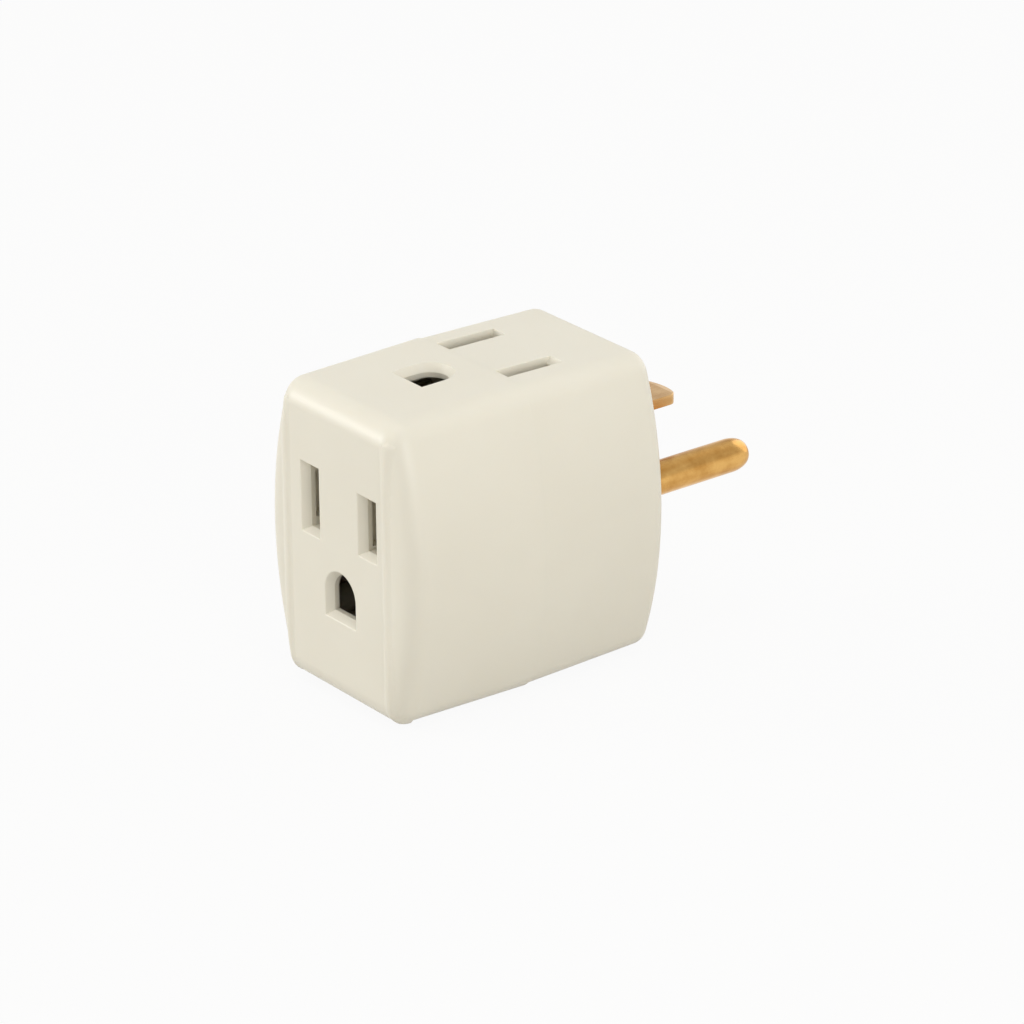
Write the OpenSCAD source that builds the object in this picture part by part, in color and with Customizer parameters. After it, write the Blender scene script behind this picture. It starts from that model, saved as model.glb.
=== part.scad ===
// Three-outlet grounding cube adapter.
// X runs across the body, Y along the prongs, Z up. The origin is the middle of
// the plug face, so the body fills negative Y and the prongs reach along +Y.

/* [Body] */
// Depth from the outlet face to the plug face
body_depth = 43.5; // [42:0.5:52]
// Height between the top and bottom outlet faces, at the seam
body_height = 44.2; // [43.4:0.2:52]
// Width of the top and bottom faces at the seam, to the unrounded corners
body_top_w = 24.8; // [24:0.2:34]
// How far each side bows out at mid height
side_bow = 4.3; // [2:0.1:7]
// Rounding of the four long corners
corner_r = 4; // [2.6:0.1:5]
// Rounding around the outlet face
front_r = 3.4; // [1:0.1:4]
// Rounding around the plug face
rear_r = 2; // [0.5:0.1:3]
// Moulding draft of each half
draft_angle = 1; // [0:0.1:1.5]
// Wall thickness of both halves
wall = 2.4; // [2:0.1:2.8]

/* [Seam] */
// How far behind the middle of the body the seam lies, between slots and ground holes
seam_shift = 0.55; // [-0.3:0.05:0.8]
// How much smaller the rear half is at the seam, all round
seam_step = 0.15; // [0:0.05:0.3]
// Length of the tongue that the front half slides into the rear half
tongue_l = 1.5; // [0.8:0.1:2.5]
// Thickness of that tongue
tongue_t = 0.9; // [0.6:0.1:1.1]
// Radius of the locating pins at the seam
dowel_r = 1.1; // [0.8:0.1:1.3]
// Length of the locating pins
dowel_l = 3; // [2:0.5:5]
// Radius of the bosses that carry the locating pins
boss_r = 2; // [1.8:0.1:2.2]
// Height of the bosses above and below mid height
boss_z = 13; // [12:0.2:13.6]
// How far each boss is sunk into the side wall
boss_lap = 0.6; // [0.3:0.1:1]

/* [Front beads] */
// How far inside the width of the top face each upright bead lies
bead_inset = 1.3; // [0.8:0.1:4]
// Width of each bead
bead_w = 0.8; // [0.5:0.1:1.2]
// Height of each bead above the face
bead_h = 0.3; // [0.1:0.05:0.5]
// Distance from the top of the body down to the upper end of each bead
bead_drop = 2.6; // [1:0.1:6]

/* [Outlets] */
// Distance between the two blade slots of an outlet
slot_spacing = 12.7; // [12.4:0.1:13]
// Distance from the slots to the ground hole of an outlet
ground_offset = 11.9; // [11.7:0.1:12.2]
// Width of a blade slot behind its lead-in
slot_w = 2.3; // [1.9:0.1:2.5]
// Length of the neutral slot behind its lead-in
neutral_slot_l = 8.9; // [8:0.1:9.2]
// Length of the hot slot behind its lead-in
hot_slot_l = 7.5; // [7:0.1:7.8]
// Width of the ground hole behind its lead-in
ground_hole_w = 5.3; // [5:0.1:5.5]
// Distance from the pin axis to the flat of the ground hole
ground_hole_flat = 3.1; // [2.7:0.1:3.3]
// Depth over which every lead-in narrows to its slot or hole
lead_in_depth = 1.1; // [0.8:0.1:1.7]
// Width of the slot lead-ins on the outlet face
front_lead_w = 4.2; // [3:0.05:4.3]
// Length of the neutral lead-in on the outlet face
front_neutral_lead_l = 10.3; // [9.4:0.1:10.8]
// Length of the hot lead-in on the outlet face
front_hot_lead_l = 9; // [8:0.1:9.8]
// Width of the slot lead-ins on the top and bottom faces
side_lead_w = 2.85; // [2.6:0.05:4]
// Length of the slot lead-ins on the top and bottom faces
side_lead_l = 9.6; // [9.2:0.1:9.8]
// Width of every ground lead-in
ground_lead_w = 6.9; // [6:0.1:7.2]
// Distance from the pin axis to the flat of every ground lead-in
ground_lead_flat = 3.85; // [3.4:0.05:4]
// Sideways place of the outlet on the front face
front_outlet_x = 0.6; // [0:0.1:1]

/* [Plug] */
// Sideways place of the plug, midway between blades and ground pin
plug_x = 1; // [0.6:0.1:1.4]
// Length of the blades beyond the plug face
blade_l = 17; // [15:0.5:18]
// Width of a blade
blade_w = 6.35; // [6.1:0.05:6.5]
// Thickness of a blade
blade_t = 1.52; // [1.4:0.02:1.65]
// Rounding of the blade tip corners
blade_tip_r = 1.9; // [0.5:0.1:2.5]
// Slope depth of the bevel at the blade tip
blade_bevel = 0.9; // [0.3:0.1:1.5]
// Radius of the hole through each blade
blade_hole_r = 1.6; // [1.2:0.1:1.8]
// Distance of that hole from the plug face
blade_hole_y = 11.8; // [11:0.1:12.4]
// Length of the ground pin beyond the plug face
pin_l = 21.5; // [20:0.5:22.5]
// Radius of the ground pin
pin_r = 2.38; // [2.3:0.01:2.4]
// Radius of the collar that stops the pin inside the rear wall
pin_collar_r = 3.3; // [2.8:0.1:3.6]
// How much thinner the ground pin is inside the body and through the rear wall
pin_relief = 0.2; // [0.16:0.01:0.3]
// How far outside the plug face the full radius of the pin starts
pin_root = 0.1; // [0.1:0.05:0.5]

/* [Strip metal] */
// Thickness of the bus strips
bus_t = 0.8; // [0.6:0.05:0.9]
// Thickness of the spring contacts
spring_t = 0.6; // [0.4:0.05:0.65]
// Width of the blade contacts
contact_w = 6; // [5:0.2:6.2]
// Free gap that grips a blade
contact_gap = 1.3; // [1:0.1:1.45]
// Distance from an outlet face to the mouth of its contacts
contact_mouth = 5; // [4.8:0.1:5.4]
// Distance from the middle of the body forward to the closed ends of the front contacts
front_contact_end = 3.35; // [3.2:0.05:3.8]
// Distance from mid height to the closed ends of the top and bottom contacts
side_contact_end = 3.6; // [3.4:0.05:4]
// Distance of the two side strips inside the width of the top face
bus_inset = 0.4; // [0.2:0.1:0.8]
// Width of the tabs that carry the blade contacts
tab_w = 5; // [4:0.2:5.6]
// Depth of the straps that carry the blades
strap_l = 5; // [4:0.2:5.6]
// Length of a ground sleeve
sleeve_l = 8; // [6:0.5:8.5]
// Shank radius of the rivets
rivet_r = 0.8; // [0.6:0.05:0.9]
// Head radius of the rivets
rivet_head_r = 1.3; // [1.1:0.05:1.35]
// Height of a rivet head
rivet_head_h = 0.5; // [0.3:0.05:0.6]

/* [Clearances] */
// Gap around the prongs where they leave the rear wall
prong_gap = 0.1; // [0.05:0.01:0.15]
// Gap around a piece that drops into a moulded seat
seat_gap = 0.3; // [0.2:0.05:0.35]
// Gap around tongue and locating pins
fit_gap = 0.1; // [0.05:0.01:0.15]
// Gap around a rivet shank
rivet_gap = 0.05; // [0.02:0.01:0.1]

/* [Hidden] */

ivory = "#e6dfcd";
brass = "#c79a52";
spring_brass = "#b8893e";
steel = "#b9bcbe";

// The sides are arcs of this radius about a line parallel to Y
half_h = body_height / 2;
side_r = (half_h * half_h + side_bow * side_bow) / (2 * side_bow);
side_cx = body_top_w / 2 + side_bow - side_r;
corner_z = half_h - corner_r;
corner_x = side_cx + sqrt(pow(side_r - corner_r, 2) - corner_z * corner_z);
corner_a = atan2(corner_z, corner_x - side_cx);
side_steps = 14;
corner_steps = 7;
edge_steps = 6;
slice = 0.01;

// Cuts run past their faces by this much, and joined shapes run into each other by the lap
past = 1;
lap = 0.2;
far = 100;
eps = 0.02;

rear_depth = body_depth / 2 - seam_shift;
front_depth = body_depth - rear_depth;
front_draft = front_depth * tan(draft_angle);
rear_draft = rear_depth * tan(draft_angle);
seam_y = -rear_depth;

// Outlet centres lie midway between slots and ground hole, on the face centres
side_outlet_y = -body_depth / 2;
blade_x = plug_x - ground_offset / 2;
pin_x = plug_x + ground_offset / 2;
blade_z = slot_spacing / 2;

// The top and bottom faces lean in by the draft, so their outlets lie below the seam height
draft_at_slots = ground_offset / 2 * tan(draft_angle);
top_slots_y = side_outlet_y + ground_offset / 2;
bottom_slots_y = side_outlet_y - ground_offset / 2;
front_slots_z = ground_offset / 2;
top_ground_y = side_outlet_y - ground_offset / 2;
bottom_ground_y = side_outlet_y + ground_offset / 2;
front_ground_z = -ground_offset / 2;

// Contacts. Depths are measured in from the outlet face.
grip_half = contact_gap / 2 + spring_t / 2;
mouth_half = 1.7;
floor_half = 1.7;
grip_depth = 2;
front_floor_depth = body_depth / 2 - front_contact_end;
side_floor_depth = half_h - draft_at_slots - side_contact_end;
well_lap = 1.5;
well_t = 1;
rivet_hole_r = rivet_r + rivet_gap;
contact_grip = spring_t + bus_t;

// Ground sleeves, wrapped round the pin from the join angle and left open at the side
sleeve_gap = 0.05;
sleeve_mid_r = pin_r + sleeve_gap + spring_t / 2;
sleeve_open_a = 70;
sleeve_join_a = 130;
sleeve_neck = 1;
foot_end = 1.4;
ground_rivet_z = half_h - draft_at_slots - contact_mouth - sleeve_l / 2;
front_rivet_y = -body_depth + contact_mouth + sleeve_l / 2;
front_ground_foot = ground_offset / 2;

// Side strips
bus_x = body_top_w / 2 - bus_inset;
bus_rear_y = -wall - seat_gap;
strap_mid_y = bus_rear_y - strap_l / 2;
strap_rise = blade_z - blade_t / 2 - bus_t / 2;
contact_tab_z = side_contact_end - bus_t / 2;
front_tab_y = side_outlet_y - front_contact_end + bus_t / 2;
tab_reach = 0.6;
inner_blade_l = -bus_rear_y + strap_l + lap;

// Ground strip
ground_bus_face = -3.2;
ground_bus_x = ground_bus_face - bus_t / 2;
ground_bar_y = side_outlet_y + 0.15;
ground_bar_w = 4;
ground_bar_end = 2.2;
ground_arm_z = 2.4;
ground_arm_gap = 1;
ground_tab_y = -9.4;

// Ground pin
pin_collar_t = 1.6;
pin_tail_r = 1.5;
pin_tail_head_r = 2.1;
pin_tail_head_h = 0.6;
nose_l = 3.2;
nose_r = 1.1;
nose_steps = 8;
nose_top_h = 0.35;
nose_top_step = 0.1;
nose_top_inset = 0.4;

// Outline of the body across Y, moved inwards by the inset
function arc_points(cx, cz, r, from, to, steps) = [
    for (i = [0 : steps]) let (a = from + (to - from) * i / steps)
        [cx + r * cos(a), cz + r * sin(a)]
];
function quarter(inset) = concat(
    arc_points(side_cx, 0, side_r - inset, 0, corner_a, side_steps / 2),
    arc_points(corner_x, corner_z, max(corner_r - inset, eps), corner_a, 90, corner_steps)
);
function reversed(list) = [for (i = [len(list) - 1 : -1 : 0]) list[i]];
function body_outline(inset) = let (
    q = quarter(inset),
    upper = concat(q, [for (p = reversed(q)) [-p.x, p.y]])
) concat(upper, [for (p = reversed(upper)) [p.x, -p.y]]);

// Strip of metal of even thickness along a path, with mitred bends
function unit(v) = v / norm(v);
function left_of(v) = [-v.y, v.x];
function strip_side(path, i) = let (
    last = len(path) - 1,
    before = left_of(unit(i > 0 ? path[i] - path[i - 1] : path[1] - path[0])),
    after = left_of(unit(i < last ? path[i + 1] - path[i] : path[last] - path[last - 1])),
    mitre = unit(before + after)
) mitre / (mitre * before);
function strip(path, t) = concat(
    [for (i = [0 : len(path) - 1]) path[i] + strip_side(path, i) * t / 2],
    [for (i = [len(path) - 1 : -1 : 0]) path[i] - strip_side(path, i) * t / 2]
);

// Extrudes an X-Z outline along Y between two places
module along_y(y0, y1) {
    translate([0, y1, 0]) rotate([90, 0, 0]) linear_extrude(y1 - y0) children();
}

// Extrudes a Y-Z outline along X between two places
module along_x(x0, x1) {
    translate([x0, 0, 0]) rotate([90, 0, 90]) linear_extrude(x1 - x0) children();
}

module box_between(low, high) {
    translate(low) cube(high - low);
}

module body_slice(y, inset) {
    along_y(y, y + slice) polygon(body_outline(inset));
}

// One half of the body: from its seam, drafted down to a rounded end face
module half_form(from_seam, depth, end_r, end_draft, step) {
    hull() {
        body_slice(from_seam < 0 ? -slice : 0, step);
        for (i = [0 : edge_steps]) {
            a = 90 * i / edge_steps;
            y = from_seam * (depth - end_r * (1 - cos(a)));
            body_slice(from_seam > 0 ? y - slice : y, end_draft + end_r * (1 - sin(a)));
        }
    }
}

module front_form(grow) {
    translate([0, seam_y, 0])
        half_form(-1, front_depth + grow, front_r + grow, front_draft - grow, -grow);
}

module rear_form() {
    translate([0, seam_y, 0]) half_form(1, rear_depth, rear_r, rear_draft + seam_step, seam_step);
}

// Upright beads, which follow the rounding at the foot of the outlet face
module beads() {
    bead_x = body_top_w / 2 - bead_inset;
    intersection() {
        front_form(bead_h);
        for (x = [-bead_x, bead_x])
            box_between([x - bead_w / 2, -far, -far],
                        [x + bead_w / 2, -body_depth + front_r, half_h - bead_drop]);
    }
}

// An outlet is drawn looking at its face: X across, Y up, face at Z = 0, metal side below.
// Slots are half the ground offset above the middle, neutral on the left.
module ground_outline(w, flat) {
    circle(d = w, $fn = 48);
    translate([-w / 2, -flat]) square([w, flat]);
}

// Cross-section of a slot's lead-in, given by its half widths at the foot and at the face
module lead_in_side(foot, face) {
    polygon([[-foot, -lead_in_depth], [foot, -lead_in_depth],
             [face, 0], [face, past], [-face, past], [-face, 0]]);
}

// Four sloping walls; the foot lies just inside the slot
module slot_lead_in(slot_l, lead_w, lead_l) {
    intersection() {
        rotate([90, 0, 0])
            linear_extrude(lead_l + past, center = true)
                lead_in_side(slot_w / 2 - eps, lead_w / 2);
        rotate([90, 0, 90])
            linear_extrude(lead_w + past, center = true)
                lead_in_side(slot_l / 2 - eps, lead_l / 2);
    }
}

module ground_lead_in() {
    hull() {
        linear_extrude(past) ground_outline(ground_lead_w, ground_lead_flat);
        translate([0, 0, -lead_in_depth])
            linear_extrude(slice)
                ground_outline(ground_hole_w - 2 * eps, ground_hole_flat - eps);
    }
}

module outlet_cut(lead_w, neutral_lead_l, hot_lead_l) {
    for (slot = [[-1, neutral_slot_l, neutral_lead_l], [1, hot_slot_l, hot_lead_l]])
        translate([slot[0] * slot_spacing / 2, ground_offset / 2, 0]) {
            cube([slot_w, slot[1], 4 * wall], center = true);
            slot_lead_in(slot[1], lead_w, slot[2]);
        }
    translate([0, -ground_offset / 2, 0]) {
        translate([0, 0, -2 * wall])
            linear_extrude(3 * wall) ground_outline(ground_hole_w, ground_hole_flat);
        ground_lead_in();
    }
}

// Frames behind the slots, in which the blade contacts stand
module outlet_wells() {
    well_in = [2 * (mouth_half + spring_t) + 2 * seat_gap, contact_w + 2 * seat_gap];
    well_out = well_in + [2 * well_t, 2 * well_t];
    well_end = -contact_mouth - well_lap;
    for (side = [-1, 1])
        translate([side * slot_spacing / 2, ground_offset / 2, 0])
            difference() {
                box_between([-well_out.x / 2, -well_out.y / 2, well_end],
                            [well_out.x / 2, well_out.y / 2, -wall + lap]);
                box_between([-well_in.x / 2, -well_in.y / 2, well_end - past],
                            [well_in.x / 2, well_in.y / 2, -wall + past]);
            }
}

// Places that turn an outlet drawing onto its face of the body.
// The bottom outlet is the top one turned half round about X.
module on_front() {
    translate([front_outlet_x, -body_depth, 0]) rotate([90, 0, 0]) children();
}

module on_top() {
    translate([0, side_outlet_y, half_h - draft_at_slots]) children();
}

module on_bottom() {
    translate([0, side_outlet_y, -half_h + draft_at_slots]) rotate([180, 0, 0]) children();
}

module all_outlet_cuts() {
    on_front() outlet_cut(front_lead_w, front_neutral_lead_l, front_hot_lead_l);
    on_top() outlet_cut(side_lead_w, side_lead_l, side_lead_l);
    on_bottom() outlet_cut(side_lead_w, side_lead_l, side_lead_l);
}

// Locating bosses at mid height of each quarter, on the side walls
module at_bosses() {
    boss_x = side_cx + sqrt(side_r * side_r - boss_z * boss_z) - wall - boss_r + boss_lap;
    for (x = [-boss_x, boss_x], z = [-boss_z, boss_z])
        translate([x, 0, z]) rotate([-90, 0, 0]) children();
}

// Tongue of the front half around the seam, or the rebate for it with a gap
module tongue(gap) {
    difference() {
        along_y(seam_y - 2 * tongue_l, seam_y + tongue_l + gap)
            polygon(body_outline(wall + front_draft - tongue_t - gap));
        along_y(seam_y - 3 * tongue_l, seam_y + 2 * tongue_l)
            polygon(body_outline(wall + front_draft + gap));
    }
}

module front_housing() {
    color(ivory) difference() {
        union() {
            difference() {
                union() {
                    front_form(0);
                    beads();
                }
                along_y(-body_depth + wall, seam_y + past) polygon(body_outline(wall + front_draft));
            }
            tongue(0);
            on_front() outlet_wells();
            intersection() {
                union() {
                    on_top() outlet_wells();
                    on_bottom() outlet_wells();
                }
                box_between([-far, -body_depth + wall, -half_h + wall / 2],
                            [far, seam_y, half_h - wall / 2]);
            }
            at_bosses() {
                translate([0, 0, -body_depth + wall / 2])
                    cylinder(r = boss_r, h = front_depth - wall / 2, $fn = 32);
                translate([0, 0, seam_y - past]) cylinder(r = dowel_r, h = dowel_l + past, $fn = 32);
            }
        }
        all_outlet_cuts();
    }
}

module rear_housing() {
    color(ivory) difference() {
        union() {
            difference() {
                rear_form();
                along_y(seam_y - past, -wall) polygon(body_outline(wall + rear_draft + seam_step));
            }
            intersection() {
                union() {
                    on_top() outlet_wells();
                    on_bottom() outlet_wells();
                }
                box_between([-far, seam_y + fit_gap, -half_h + wall / 2],
                            [far, -wall, half_h - wall / 2]);
            }
            at_bosses() translate([0, 0, seam_y + fit_gap])
                cylinder(r = boss_r, h = rear_depth - wall / 2 - fit_gap, $fn = 32);
            bus_rails();
        }
        tongue(fit_gap);
        all_outlet_cuts();
        at_bosses() translate([0, 0, seam_y - past])
            cylinder(r = dowel_r + fit_gap, h = dowel_l + past + seat_gap, $fn = 32);
        for (z = [-blade_z, blade_z])
            translate([blade_x, 0, z])
                cube([blade_w + 2 * prong_gap, 4 * wall, blade_t + 2 * prong_gap], center = true);
        translate([pin_x, -2 * wall, 0]) rotate([-90, 0, 0])
            cylinder(r = pin_r + prong_gap, h = 4 * wall, $fn = 48);
    }
}

// Ribs on the inside of the rear wall, which hold the edges of the two side strips
module bus_rails() {
    rail_t = 1;
    rail_l = 2.6;
    rail_z = 6;
    for (side = [-1, 1], face = [-1, 1])
        translate([side * bus_x + face * (bus_t / 2 + seat_gap + rail_t / 2),
                   -wall - rail_l / 2 + eps, 0])
            cube([rail_t, rail_l, rail_z], center = true);
}

// Blade: one flat bar with a rounded, bevelled tip, flat towards top and bottom
module blade() {
    difference() {
        intersection() {
            translate([0, 0, -blade_t / 2]) linear_extrude(blade_t) union() {
                translate([-blade_w / 2, -inner_blade_l])
                    square([blade_w, inner_blade_l + blade_l - blade_tip_r]);
                translate([-blade_w / 2 + blade_tip_r, 0])
                    square([blade_w - 2 * blade_tip_r, blade_l]);
                for (x = [-1, 1])
                    translate([x * (blade_w / 2 - blade_tip_r), blade_l - blade_tip_r])
                        circle(r = blade_tip_r, $fn = 48);
            }
            along_x(-blade_w, blade_w) polygon([
                [-inner_blade_l - past, -blade_t], [-inner_blade_l - past, blade_t],
                [blade_l - 2 * blade_bevel, blade_t / 2 + eps], [blade_l, blade_t / 4],
                [blade_l, -blade_t / 4], [blade_l - 2 * blade_bevel, -blade_t / 2 - eps]
            ]);
        }
        translate([0, blade_hole_y, -blade_t]) cylinder(r = blade_hole_r, h = 2 * blade_t, $fn = 32);
        translate([0, strap_mid_y, -blade_t]) cylinder(r = rivet_hole_r, h = 2 * blade_t, $fn = 24);
    }
}

module hot_blade() {
    color(brass) translate([blade_x, 0, blade_z]) blade();
}

module neutral_blade() {
    color(brass) translate([blade_x, 0, -blade_z]) blade();
}

// Turned ground pin with a bullet tip, a collar behind the wall and a riveted tail
module ground_pin() {
    tail_y = ground_tab_y - bus_t / 2;
    tail_end = tail_y - pin_tail_head_h;
    collar_y = -wall - fit_gap;
    neck_r = pin_r - pin_relief;
    nose_y = pin_l - nose_l;
    color(brass) translate([pin_x, 0, 0]) rotate([-90, 0, 0]) rotate_extrude($fn = 48)
        polygon(concat(
            [[0, tail_end], [pin_tail_head_r, tail_end],
             [pin_tail_head_r, tail_y], [pin_tail_r, tail_y],
             [pin_tail_r, tail_y + bus_t], [neck_r, tail_y + bus_t],
             [neck_r, collar_y - pin_collar_t], [pin_collar_r, collar_y - pin_collar_t],
             [pin_collar_r, collar_y], [neck_r, collar_y],
             [neck_r, pin_root], [pin_r, pin_root], [pin_r, nose_y]],
            [for (i = [1 : nose_steps]) let (a = 90 * i / nose_steps)
                [nose_r + (pin_r - nose_r) * cos(a), nose_y + (nose_l - nose_top_h) * sin(a)]],
            [[nose_r - nose_top_inset, pin_l - nose_top_step], [0, pin_l]]
        ));
}

// Blade contact, drawn like its outlet: mouth towards the face, closed end below
module blade_contact(floor_depth) {
    floor_y = -floor_depth + spring_t / 2;
    grip_y = -contact_mouth - grip_depth;
    path = [
        [-mouth_half, -contact_mouth], [-grip_half, grip_y], [-floor_half, floor_y],
        [floor_half, floor_y], [grip_half, grip_y], [mouth_half, -contact_mouth]
    ];
    difference() {
        translate([0, contact_w / 2, 0]) rotate([90, 0, 0])
            linear_extrude(contact_w) polygon(strip(path, spring_t));
        translate([0, 0, -floor_depth - past])
            cylinder(r = rivet_hole_r, h = spring_t + 2 * past, $fn = 24);
    }
}

// Places of the blade contacts within an outlet drawing
module at_neutral() {
    translate([-slot_spacing / 2, ground_offset / 2, 0]) children();
}

module at_hot() {
    translate([slot_spacing / 2, ground_offset / 2, 0]) children();
}

module front_hot_contact() {
    color(spring_brass) on_front() at_hot() blade_contact(front_floor_depth);
}

module top_hot_contact() {
    color(spring_brass) on_top() at_hot() blade_contact(side_floor_depth);
}

module bottom_hot_contact() {
    color(spring_brass) on_bottom() at_hot() blade_contact(side_floor_depth);
}

module front_neutral_contact() {
    color(spring_brass) on_front() at_neutral() blade_contact(front_floor_depth);
}

module top_neutral_contact() {
    color(spring_brass) on_top() at_neutral() blade_contact(side_floor_depth);
}

module bottom_neutral_contact() {
    color(spring_brass) on_bottom() at_neutral() blade_contact(side_floor_depth);
}

// Rolled ground sleeve with a foot that lies on the ground strip.
// The outline has the strip face at x = 0, the pin axis at x = axis_x and the foot at foot_y.
module ground_sleeve(axis_x, foot_y) {
    path = concat(
        [[spring_t / 2, foot_y + foot_end], [spring_t / 2, sleeve_mid_r + sleeve_neck]],
        arc_points(axis_x, 0, sleeve_mid_r, sleeve_join_a, sleeve_join_a + 360 - sleeve_open_a, 20)
    );
    difference() {
        linear_extrude(sleeve_l) polygon(strip(path, spring_t));
        translate([-past, foot_y, sleeve_l / 2]) rotate([0, 90, 0])
            cylinder(r = rivet_hole_r, h = spring_t + 2 * past, $fn = 24);
    }
}

module top_ground_contact() {
    color(spring_brass)
        translate([ground_bus_face, top_ground_y, ground_rivet_z - sleeve_l / 2])
            ground_sleeve(-ground_bus_face, ground_bar_y - top_ground_y);
}

module bottom_ground_contact() {
    color(spring_brass)
        translate([ground_bus_face, bottom_ground_y, -ground_rivet_z + sleeve_l / 2])
            rotate([180, 0, 0])
                ground_sleeve(-ground_bus_face, bottom_ground_y - ground_bar_y);
}

module front_ground_contact() {
    color(spring_brass)
        translate([ground_bus_face, -body_depth + contact_mouth + sleeve_l, front_ground_z])
            rotate([90, 0, 0])
                ground_sleeve(front_outlet_x - ground_bus_face, front_ground_foot);
}

// Side strips: an upright plate with a tab behind each contact and a strap to its blade.
// Drawn for the +X side with its contacts at x; the -X strip mirrors it.
module side_bus(front_x, strap_z, strap_far_x) {
    tab_in = floor_half + tab_reach;
    side_x = slot_spacing / 2;
    tab_z = contact_tab_z;
    plate_low = min(-tab_z - bus_t / 2, strap_z - bus_t / 2);
    plate_high = front_slots_z + tab_w / 2;
    plate_slope = 2;
    difference() {
        union() {
            // Upright plate, cut away in front above the bottom tab
            along_x(bus_x - bus_t / 2, bus_x + bus_t / 2) polygon([
                [bottom_slots_y - tab_w / 2, -tab_z - bus_t / 2],
                [bottom_slots_y - tab_w / 2, tab_z],
                [front_tab_y - bus_t / 2, front_slots_z - tab_w / 2],
                [front_tab_y - bus_t / 2, plate_high],
                [bus_rear_y, plate_high],
                [bus_rear_y, plate_low],
                [bus_rear_y - strap_l, plate_low],
                [bus_rear_y - strap_l - plate_slope, -tab_z - bus_t / 2]
            ]);
            box_between([side_x - tab_in, top_slots_y - tab_w / 2, tab_z - bus_t / 2],
                        [bus_x, top_slots_y + tab_w / 2, tab_z + bus_t / 2]);
            box_between([side_x - tab_in, bottom_slots_y - tab_w / 2, -tab_z - bus_t / 2],
                        [bus_x, bottom_slots_y + tab_w / 2, -tab_z + bus_t / 2]);
            box_between([front_x - tab_in, front_tab_y - bus_t / 2, front_slots_z - tab_w / 2],
                        [bus_x, front_tab_y + bus_t / 2, front_slots_z + tab_w / 2]);
            box_between([strap_far_x, bus_rear_y - strap_l, strap_z - bus_t / 2],
                        [bus_x, bus_rear_y, strap_z + bus_t / 2]);
        }
        for (place = [[top_slots_y, tab_z], [bottom_slots_y, -tab_z]])
            translate([side_x, place[0], place[1]]) strip_hole(rivet_hole_r);
        translate([front_x, front_tab_y, front_slots_z]) rotate([-90, 0, 0])
            strip_hole(rivet_hole_r);
        translate([strap_far_x + blade_w / 2, strap_mid_y, strap_z]) strip_hole(rivet_hole_r);
    }
}

// Hole through a bus strip, centred on the strip
module strip_hole(r) {
    cylinder(r = r, h = 2 * past, center = true, $fn = 24);
}

module hot_bus() {
    color(brass)
        side_bus(front_outlet_x + slot_spacing / 2, strap_rise, blade_x - blade_w / 2);
}

module neutral_bus() {
    color(brass) mirror([1, 0, 0])
        side_bus(slot_spacing / 2 - front_outlet_x, -strap_rise, -blade_x - blade_w / 2);
}

// Ground strip: upright bar for the top and bottom sleeves, an arm forward to the
// front sleeve and an arm back that folds across to the pin
module ground_bus() {
    bar_z = ground_rivet_z + ground_bar_end;
    arm_front_y = -body_depth + contact_mouth + well_lap + ground_arm_gap;
    tab_far_x = pin_x + pin_r;
    difference() {
        union() {
            along_x(ground_bus_face - bus_t, ground_bus_face) {
                translate([ground_bar_y - ground_bar_w / 2, -bar_z]) square([ground_bar_w, 2 * bar_z]);
                translate([arm_front_y, -ground_arm_z])
                    square([ground_tab_y - arm_front_y, 2 * ground_arm_z]);
            }
            along_y(ground_tab_y - bus_t / 2, ground_tab_y + bus_t / 2)
                translate([ground_bus_face - bus_t, -ground_arm_z])
                    square([tab_far_x - ground_bus_face + bus_t, 2 * ground_arm_z]);
        }
        for (z = [-ground_rivet_z, ground_rivet_z])
            translate([ground_bus_x, ground_bar_y, z]) rotate([0, 90, 0]) strip_hole(rivet_hole_r);
        translate([ground_bus_x, front_rivet_y, front_ground_z + front_ground_foot])
            rotate([0, 90, 0]) strip_hole(rivet_hole_r);
        translate([pin_x, ground_tab_y, 0]) rotate([-90, 0, 0])
            strip_hole(pin_tail_r + rivet_gap);
    }
}

// Rivet standing on the XY plane, with its grip above and a head at each end
module rivet(grip) {
    cylinder(r = rivet_r, h = grip, $fn = 24);
    translate([0, 0, -rivet_head_h]) cylinder(r = rivet_head_r, h = rivet_head_h, $fn = 24);
    translate([0, 0, grip]) cylinder(r = rivet_head_r, h = rivet_head_h, $fn = 24);
}

// Rivet that holds a blade contact to its tab, in an outlet drawing
module contact_rivet(floor_depth) {
    translate([0, 0, -floor_depth - bus_t]) rivet(contact_grip);
}

module hot_rivets() {
    color(steel) {
        on_front() at_hot() contact_rivet(front_floor_depth);
        on_top() at_hot() contact_rivet(side_floor_depth);
        on_bottom() at_hot() contact_rivet(side_floor_depth);
        translate([blade_x, strap_mid_y, strap_rise - bus_t / 2]) rivet(bus_t + blade_t);
    }
}

module neutral_rivets() {
    color(steel) {
        on_front() at_neutral() contact_rivet(front_floor_depth);
        on_top() at_neutral() contact_rivet(side_floor_depth);
        on_bottom() at_neutral() contact_rivet(side_floor_depth);
        translate([blade_x, strap_mid_y, -blade_z - blade_t / 2]) rivet(bus_t + blade_t);
    }
}

module ground_rivets() {
    color(steel) translate([ground_bus_face - bus_t, 0, 0]) {
        for (z = [-ground_rivet_z, ground_rivet_z])
            translate([0, ground_bar_y, z]) rotate([0, 90, 0]) rivet(contact_grip);
        translate([0, front_rivet_y, front_ground_z + front_ground_foot])
            rotate([0, 90, 0]) rivet(contact_grip);
    }
}

front_housing();
rear_housing();
hot_blade();
neutral_blade();
ground_pin();
hot_bus();
neutral_bus();
ground_bus();
front_hot_contact();
top_hot_contact();
bottom_hot_contact();
front_neutral_contact();
top_neutral_contact();
bottom_neutral_contact();
front_ground_contact();
top_ground_contact();
bottom_ground_contact();
hot_rivets();
neutral_rivets();
ground_rivets();
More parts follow.
